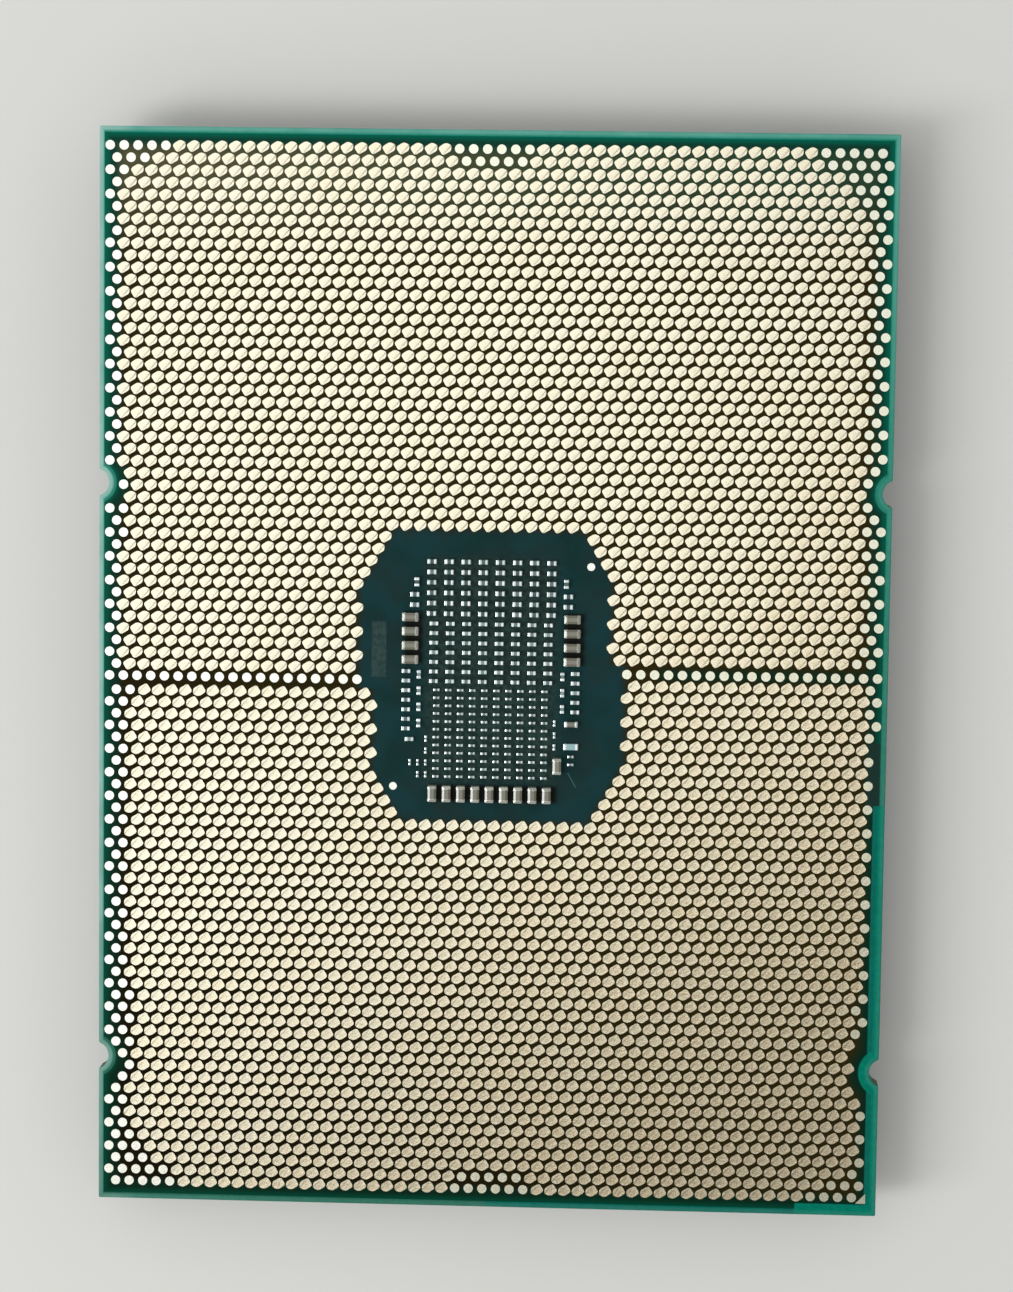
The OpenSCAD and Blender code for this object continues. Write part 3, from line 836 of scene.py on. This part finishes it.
def makeLands():
    low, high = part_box("upper_lands")
    height = high.z - low.z
    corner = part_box("package_substrate")[1]
    halfDiagonal = (corner.x + corner.y) / mm
    gold = landPaint("landGold", landLook, halfDiagonal)
    brightGold = landPaint("roundLandGold", roundLandLook, halfDiagonal)
    markGold = landPaint("markGold", markLook, halfDiagonal)
    for name, node, turn in (("upperLands", "upper_lands", 0), ("lowerLands", "lower_lands", 180)):
        disc = flatDisc("contactLand", landLook["radius"] * mm, landLook["points"])
        clipTo(disc, landLook["flats"], landLook["cornerCut"] * mm)
        spreadLands(name, node, disc, height, gold, turn)
    disc = flatDisc("roundLand", roundLandLook["radius"] * mm, roundLandLook["points"])
    spreadLands("roundLands", "round_lands", disc, height, brightGold)
    markRadius = islands("fiducial_marks")[1][0][0] / 2
    disc = flatDisc("fiducial", markRadius, roundLandLook["points"])
    spreadLands("fiducialMarks", "fiducial_marks", disc, height, markGold)
    makeMarker(height, brightGold)


makeLands()
print("lands made")


# Chips

chipLook = {                      # edgeCut in mm, along the upper edges of bodies and metal ends
    "largeCapacitor": {
        "bodies": "large_capacitor_bodies",
        "ends": "large_capacitor_ends",
        "finishes": ("chipCeramic", "dullTin"),
        "edgeCut": 0.16,
    },
    "mediumCapacitor": {
        "bodies": "medium_capacitor_body",
        "ends": "medium_capacitor_ends",
        "finishes": ("chipCeramic", "tinPlate"),
        "edgeCut": 0.09,
    },
    "chipResistor": {
        "bodies": "chip_resistor_body",
        "ends": "chip_resistor_ends",
        "finishes": ("resistorGlaze", "tinPlate"),
        "edgeCut": 0.05,
    },
    "smallCapacitor": {
        "bodies": "small_capacitor_bodies",
        "ends": "small_capacitor_ends",
        "finishes": ("fineCeramic", "tinPlate"),
        "edgeCut": 0.045,
    },
    "slimCapacitor": {
        "bodies": "slim_capacitor_bodies",
        "ends": "slim_capacitor_ends",
        "finishes": ("paleCeramic", "tinPlate"),
        "edgeCut": 0.03,
    },
    "tinyCapacitor": {
        "bodies": "tiny_capacitor_bodies",
        "ends": "tiny_capacitor_ends",
        "finishes": ("paleCeramic", "tinPlate"),
        "edgeCut": 0.062,
    },
}
chipCutLook = {
    "edgeSquash": 0.35,           # the edge cut's height as a share of its width
    "cornerCut": 0.08,            # the upright corners' cut as a share of the chip's width
    "endLap": 0.012,              # mm that the metal ends stand out round the bodies
}
filletLook = {
    "foot": 0.07,                 # shares of the chip's height
    "climb": 0.5,
    "width": 0.94,                # share of the chip's width
    "hollow": 0.94,               # share of the block that the curve takes away
    "profile": 0.22,
    "segments": 4,
    "smoothAngle": 50,
}
dullMetal = ((0.0, tint(150, 154, 140)), (1.0, tint(188, 190, 178)))
chipFinishLook = {                # stops are colours over the shade, from 0 to 1
    "chipCeramic": {
        "stops": ((0.0, tint(88, 96, 68)), (0.5, tint(94, 94, 68)), (1.0, tint(100, 92, 75))),
        "metallic": 0.0,
        "roughness": 0.22,
        "ior": 2.2,
    },
    "fineCeramic": {
        "stops": ((0.0, tint(46, 72, 70)), (0.5, tint(78, 102, 98)), (1.0, tint(126, 144, 140))),
        "metallic": 0.0,
        "roughness": 0.45,
        "ior": 1.5,
    },
    "paleCeramic": {
        "stops": ((0.0, tint(76, 104, 100)), (1.0, tint(156, 176, 171))),
        "metallic": 0.0,
        "roughness": 0.4,
        "ior": 1.5,
    },
    "resistorGlaze": {
        "stops": ((0.0, tint(140, 180, 184)), (1.0, tint(172, 204, 206))),
        "metallic": 0.0,
        "roughness": 0.35,
        "ior": 1.5,
    },
    "tinPlate": {
        "stops": ((0.0, tint(192, 210, 210)), (1.0, tint(246, 253, 253))),
        "metallic": 0.9,
        "roughness": 0.27,
        "ior": 1.5,
    },
    "dullTin": {"stops": dullMetal, "metallic": 0.3, "roughness": 0.22, "ior": 2.2},
    "solder": {"stops": dullMetal, "metallic": 0.6, "roughness": 0.34, "ior": 1.5},
}
chipGrainLook = {
    "perMm": 9.0,
    "shares": (0.7, 0.3),         # the chip's own shade, and the grain
    "rough": 0.16,
    "bump": (0.25, 0.01),         # strength, and mm
}


def chipPaint(name, stops, metallic, roughness, ior):
    paint = Paint(name)
    grain = paint.noise(chipGrainLook["perMm"], 3)
    own, grainy = chipGrainLook["shares"]
    shade = paint.tone() * own + grain * grainy
    return paint.done(
        Base_Color=paint.ramp(shade, *stops),
        Metallic=metallic,
        Roughness=roughness + chipGrainLook["rough"] * (grain - 0.5),
        IOR=ior,
        Normal=paint.bump(grain, *chipGrainLook["bump"]),
    )


# A box with its long upper edges cut off slantwise, and its right end too where it is closed
def blunted(name, low, high, edgeCut, closedEnd):
    look = chipCutLook
    squash = Matrix.Diagonal((1, 1, look["edgeSquash"], 1))
    top = high[2] / look["edgeSquash"] - finest

    def atEnd(middle):
        return closedEnd and middle.x > high[0] - finest

    box = addBlock(name, Vector(low), Vector(high))
    box.data.transform(squash.inverted())
    pick(box, lambda middle, way: middle.z > top and (abs(way.x) > almost or atEnd(middle)))
    bevelPicked(edgeCut)
    box.data.transform(squash)
    if closedEnd:
        pick(box, lambda middle, way: abs(way.z) > almost and atEnd(middle))
        bevelPicked(look["cornerCut"] * (high[1] - low[1]))
    mapAround(box)
    return box


def filletWedge(size, look):     # solder that sweeps up to the metal end in a hollow curve
    wedge = addBlock("fillet", Vector((0, -0.5, 0)), Vector((1, 0.5, 1)))
    pick(wedge, lambda middle, way: middle.x > almost and middle.z > almost)
    bevelPicked(look["hollow"], look["segments"], look["profile"])
    scale = (look["foot"] * size.z, look["width"] * size.y, look["climb"] * size.z, 1)
    wedge.data.transform(Matrix.Diagonal(scale))
    wedge.data.transform(Matrix.Translation((size.x / 2, 0, 0)))
    smoothSides(wedge, look["smoothAngle"])
    mapAround(wedge)
    return wedge


def makeChips():
    finishes = {name: chipPaint(name, **look) for name, look in chipFinishLook.items()}
    lap = chipCutLook["endLap"] * mm
    fillets = []
    for name, look in chipLook.items():
        places, size, end = chipPlaces(look["bodies"], look["ends"])
        bodyFinish, endFinish = (finishes[finish] for finish in look["finishes"])
        half, cut = size / 2, look["edgeCut"] * mm
        reach = half.x - end / 2     # the body's ends lie inside the metal
        low, high = (-reach, lap - half.y, 0), (reach, half.y - lap, size.z - lap)
        body = blunted("body", low, high, cut, closedEnd=False)
        bodies = joinCopies(name + "Bodies", copyTo(body, places))
        slotName = "resistor_ceramic" if name == "chipResistor" else "chip_ceramic"
        settle(bodies, bodyFinish, slotName, look["bodies"])
        low, high = (half.x - end, -half.y, 0), (half.x, half.y, size.z)
        copies = []
        for turn in (0, math.pi):
            turned = [place @ Matrix.Rotation(turn, 4, "Z") for place in places]
            copies += copyTo(blunted("end", low, high, cut, closedEnd=True), turned)
            fillets += copyTo(filletWedge(size, filletLook), turned)
        settle(joinCopies(name + "Ends", copies), endFinish, "chip_tin", look["ends"])
        print(name, "made:", len(places), "chips")
    settle(joinCopies("solderFillets", fillets), finishes["solder"], "solder", "solder_fillets")


makeChips()
print("chips made")


# Heat spreader

lidLook = {
    "flangeCorner": 1.6,          # mm
    "raisedCorner": 2.4,
    "recessCorner": 1.5,
    "cornerSegments": 10,
    "flangeWidth": 4.2,
    "footWidth": 5.0,
    "raisedHeight": 1.5,
    "edgeRound": 0.3,
    "edgeSegments": 3,
    "bevelAngle": 50,             # degrees
    "smoothAngle": 35,
    "nickel": tint(196, 194, 188),
    "nickelDark": tint(177, 175, 170),
    "brushPerMm": 9.0,
    "brushStretch": (1, 0.015, 1),
    "cloudPerMm": 0.08,
    "shares": (0.6, 0.4),         # of the brushing and the clouds in the colour
    "shadeSpan": (0.3, 0.7),
    "roughness": (0.36, 0.14, 0.08),     # even, with the brushing and with the clouds
    "bump": (0.2, 0.006),         # strength, and mm
}


def nickelPaint(look):
    paint = Paint("lidNickel")
    brushed = paint.noise(look["brushPerMm"], 4, 0.6, stretch=look["brushStretch"])
    cloud = paint.noise(look["cloudPerMm"], 2)
    ofBrush, ofCloud = look["shares"]
    dark = paint.fade(brushed * ofBrush + cloud * ofCloud, *look["shadeSpan"])
    even, ofBrush, ofCloud = look["roughness"]
    return paint.done(
        Base_Color=paint.mix(dark, look["nickel"], look["nickelDark"]),
        Metallic=1.0,
        Roughness=even + ofBrush * (brushed - 0.5) + ofCloud * cloud,
        Normal=paint.bump(brushed, *look["bump"]),
    )


def makeLid(look):
    low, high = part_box("heat_spreader")
    step, foot = look["flangeWidth"] * mm, look["footWidth"] * mm
    flangeLow = look["raisedHeight"] * mm
    lid = addBlock("heatSpreader", Vector((low.x, low.y, flangeLow)), high)
    roundUprights(lid, look["flangeCorner"] * mm, look["cornerSegments"])
    raised = addBlock("raised", low + Vector((step, step, 0)),
                      Vector((high.x - step, high.y - step, (flangeLow + high.z) / 2)))
    roundUprights(raised, look["raisedCorner"] * mm, look["cornerSegments"])
    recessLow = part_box("die_interface")[0].z
    recess = addBlock("recess", Vector((low.x + foot, low.y + foot, recessLow)),
                      Vector((high.x - foot, high.y - foot, 2 * high.z)))
    roundUprights(recess, look["recessCorner"] * mm, look["cornerSegments"])
    applyModifier(lid, "BOOLEAN", object=raised, operation="UNION", solver="EXACT")
    applyModifier(lid, "BOOLEAN", object=recess, operation="DIFFERENCE", solver="EXACT")
    bpy.data.objects.remove(raised)
    bpy.data.objects.remove(recess)
    applyModifier(lid, "BEVEL", width=look["edgeRound"] * mm, segments=look["edgeSegments"],
                  limit_method="ANGLE", angle_limit=math.radians(look["bevelAngle"]))
    smoothSides(lid, look["smoothAngle"])
    settle(lid, nickelPaint(look), "lid_nickel", "heat_spreader")


makeLid(lidLook)
print("heat spreader made")


# Pieces inside the package keep their solids and get their finish

innerLook = {                     # finish, dark and pale shade, metallic and roughness
    "lid_sealant": ("sealant", tint(34, 34, 36), tint(52, 52, 54), 0.0, 0.6),
    "die_interface": ("solderLayer", tint(176, 176, 172), tint(206, 206, 200), 0.9, 0.4),
    "silicon_die": ("silicon", tint(62, 66, 74), tint(84, 88, 98), 0.6, 0.2),
    "die_underfill": ("underfill", tint(40, 38, 36), tint(58, 54, 50), 0.0, 0.5),
}
innerGrainLook = {
    "perMm": 2.0,
    "span": (0.3, 0.7),
    "rough": 0.15,
    "bump": (0.2, 0.02),          # strength, and mm
}


def innerPaint(name, dark, pale, metallic, roughness):
    paint = Paint(name)
    grain = paint.noise(innerGrainLook["perMm"], 3)
    return paint.done(
        Base_Color=paint.mix(paint.fade(grain, *innerGrainLook["span"]), dark, pale),
        Metallic=metallic,
        Roughness=roughness + innerGrainLook["rough"] * (grain - 0.5),
        Normal=paint.bump(grain, *innerGrainLook["bump"]),
    )


for nodeName, look in innerLook.items():
    slots = frame["nodes"][nodeName].data.materials
    slots.clear()
    slots.append(innerPaint(*look))
print("inner pieces finished")


# Floor, light and camera

stageLook = {
    "floorHalf": 1.5,             # m
    "floorDrop": 0.00002,
    "floor": tint(234, 234, 230),
    "floorDark": tint(224, 224, 220),
    "floorCloudPerMm": 0.02,
    "floorCloudShare": 0.3,
    "floorRoughness": 0.75,
    "floorSpecular": 0.2,
    "skyLow": (0.66, 0.66, 0.66, 1),              # towards the horizon and overhead
    "skyHigh": (0.24, 0.24, 0.24, 1),
    "skyFrom": (0.57, 0.88),      # sines of the heights between which the one turns into the other
    "key": {"place": (-0.089, 0.028, 0.3), "aim": (-0.089, 0.028, 0), "spin": 33,     # m and degrees
            "size": (0.28, 0.28), "power": 0.206},     # m and W
    "side": {"place": (-0.4, -0.14, 0.48), "aim": (0, 0, 0), "spin": 0,
             "size": (0.18, 0.44), "power": 1.35},
}
cameraLook = {
    "place": (0.01227979, 0.0288284, 0.25863069),     # m
    "turn": (-0.10395, 0.04575, 0.01298),             # rad
    "focalPixels": 3567.04,
    "imageHeight": 1292,
    "sensor": 36,                 # mm
    "clipStart": 0.01,            # m
}


def floorPaint(look):
    paint = Paint("floor")
    cloud = paint.noise(look["floorCloudPerMm"], 2)
    return paint.done(
        Base_Color=paint.mix(cloud * look["floorCloudShare"], look["floor"], look["floorDark"]),
        Roughness=look["floorRoughness"],
        Specular_IOR_Level=look["floorSpecular"],
    )


def skyPaint(look):
    paint = Paint("studio", "worlds")
    way = paint.node("ShaderNodeTexCoord", output="Object")
    height = paint.node("ShaderNodeSeparateXYZ", sockets={"Vector": way}, output="Z")
    colour = paint.mix(paint.fade(height, *look["skyFrom"]), look["skyLow"], look["skyHigh"])
    light = paint.node("ShaderNodeBackground", sockets={"Color": colour})
    paint.node("ShaderNodeOutputWorld", sockets={"Surface": light})
    return paint.material


def addSoftbox(name, place, aim, spin, size, power):
    deselectAll()
    towards = (Vector(aim) - Vector(place)).to_track_quat("-Z", "Y").to_matrix()
    turn = (towards @ Matrix.Rotation(math.radians(spin), 3, "Z")).to_euler()
    bpy.ops.object.light_add(type="AREA", location=place, rotation=turn)
    lamp = bpy.context.object
    lamp.name = name
    lamp.data.shape = "RECTANGLE"
    lamp.data.size, lamp.data.size_y = size
    lamp.data.energy = power


def makeStage(look):
    deselectAll()
    bpy.ops.mesh.primitive_plane_add(size=2 * look["floorHalf"], location=(0, 0, -look["floorDrop"]))
    floor = bpy.context.object
    floor.name = "floor"
    floor.data.materials.append(floorPaint(look))
    addSoftbox("keyLight", **look["key"])
    addSoftbox("sideLight", **look["side"])
    bpy.context.scene.world = skyPaint(look)
    bpy.context.scene.view_settings.view_transform = "Standard"


def addCamera(look):
    deselectAll()
    bpy.ops.object.camera_add(location=look["place"], rotation=look["turn"])
    camera = bpy.context.object
    camera.data.sensor_width = look["sensor"]
    camera.data.lens = look["focalPixels"] * look["sensor"] / look["imageHeight"]
    camera.data.clip_start = look["clipStart"]
    bpy.context.scene.camera = camera


makeStage(stageLook)
addCamera(cameraLook)
print("stage and camera set")
